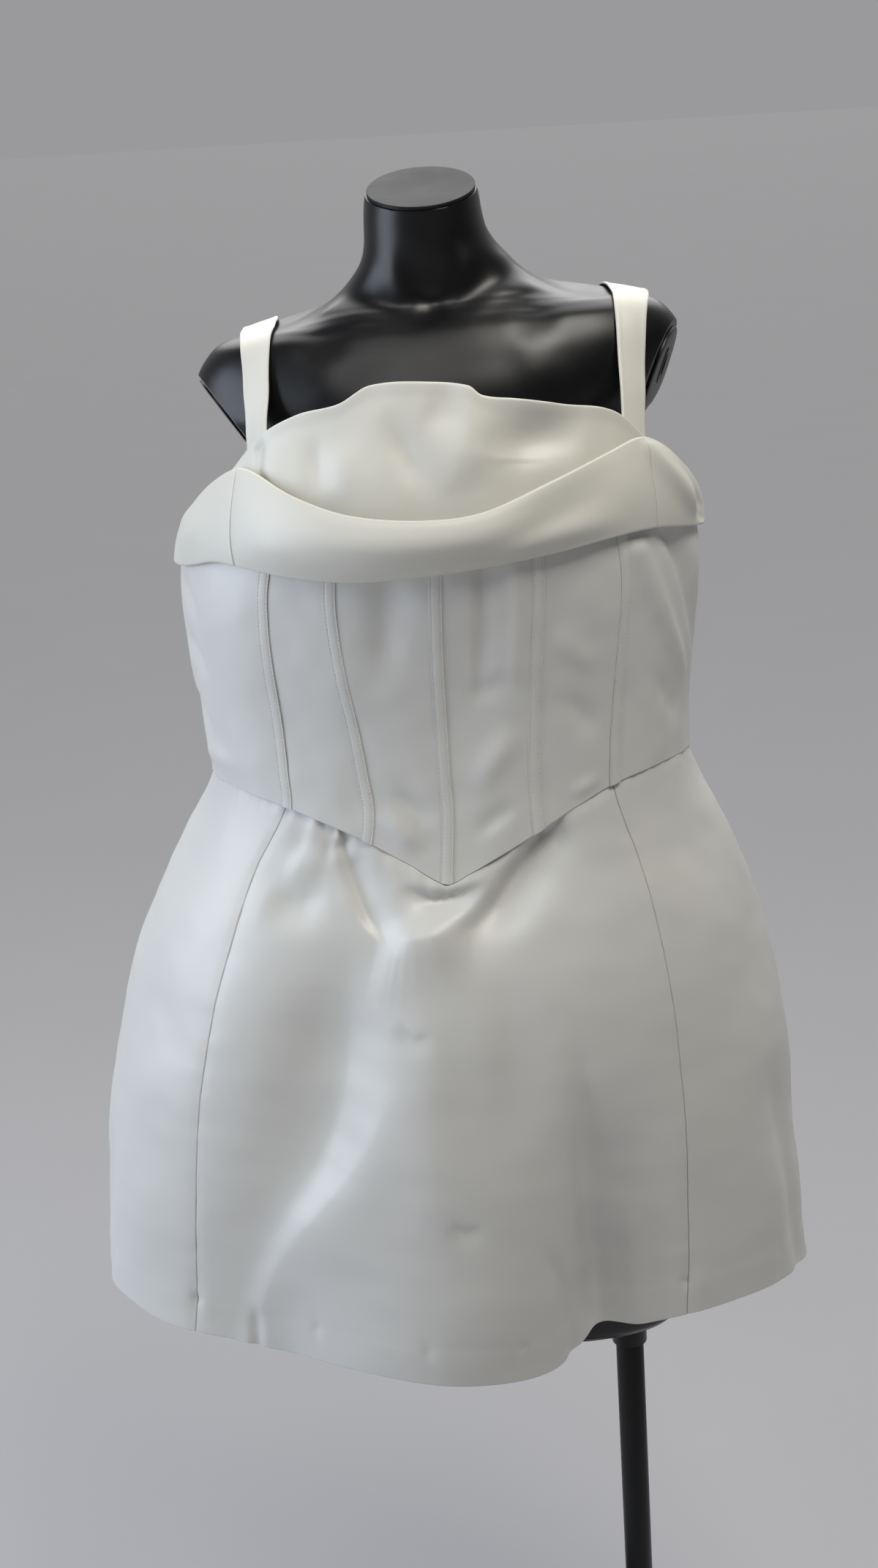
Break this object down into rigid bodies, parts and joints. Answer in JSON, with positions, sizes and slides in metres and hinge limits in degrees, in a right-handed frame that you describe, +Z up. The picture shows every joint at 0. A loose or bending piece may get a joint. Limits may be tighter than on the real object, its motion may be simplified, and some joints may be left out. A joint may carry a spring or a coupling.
{
  "type": "corset mini dress on a limbless dress form with a stand",
  "caption": "Corset mini dress in ivory satin with a draped folded neckline band, boned bodice, pointed waist and flared skirt, on a black dress form on a pole stand.",
  "frame": {"origin": "middle of the base plate's underside, on the floor", "axes": "+Z up, -Y the dress's front, +X the viewer's right"},
  "size_m": [0.6328, 0.4517, 1.5138],
  "materials": {
    "ivory_satin": "duchess satin, soft broad sheen",
    "black_form": "glossy black",
    "dark_steel": "dark satin steel",
    "zip_metal": "painted to match the cloth"
  },
  "bodies": {
    "dress_and_form": {"skirt_front": "ivory_satin", "skirt_side_front_L": "ivory_satin", "skirt_side_front_R": "ivory_satin", "skirt_side_back_L": "ivory_satin", "skirt_side_back_R": "ivory_satin", "skirt_back_L": "ivory_satin", "skirt_back_R": "ivory_satin", "bodice_centre_front_L": "ivory_satin", "bodice_front_L": "ivory_satin", "bodice_side_front_L": "ivory_satin", "bodice_side_back_L": "ivory_satin", "bodice_back_L": "ivory_satin", "bodice_centre_back_L": "ivory_satin", "bodice_centre_front_R": "ivory_satin", "bodice_front_R": "ivory_satin", "bodice_side_front_R": "ivory_satin", "bodice_side_back_R": "ivory_satin", "bodice_back_R": "ivory_satin", "bodice_centre_back_R": "ivory_satin", "bone_channel_centre_front": "ivory_satin", "bone_channel_front_inner_L": "ivory_satin", "bone_channel_front_inner_R": "ivory_satin", "bone_channel_front_outer_L": "ivory_satin", "bone_channel_front_outer_R": "ivory_satin", "bone_channel_back_inner_L": "ivory_satin", "bone_channel_back_inner_R": "ivory_satin", "bone_channel_back_outer_L": "ivory_satin", "bone_channel_back_outer_R": "ivory_satin", "bust_panel": "ivory_satin", "band_front": "ivory_satin", "band_side_L": "ivory_satin", "band_side_R": "ivory_satin", "strap_L": "ivory_satin", "strap_R": "ivory_satin", "form_torso": "black_form", "form_neck_cap": "black_form", "form_arm_plate_L": "black_form", "form_arm_plate_R": "black_form", "stand_collar": "dark_steel", "stand_pole": "dark_steel", "stand_socket": "dark_steel", "stand_base": "dark_steel", "zip_slider": "zip_metal"},
    "zip_pull": {"zip_pull": "zip_metal"}
  },
  "joints": [
    {"name": "zip_pull_hinge", "type": "hinge", "parent": "dress_and_form", "child": "zip_pull", "pos_m": [0.00044, 0.13952, 1.2495], "axis": [1, 0, 0], "range_deg": [0, 90]}
  ]
}
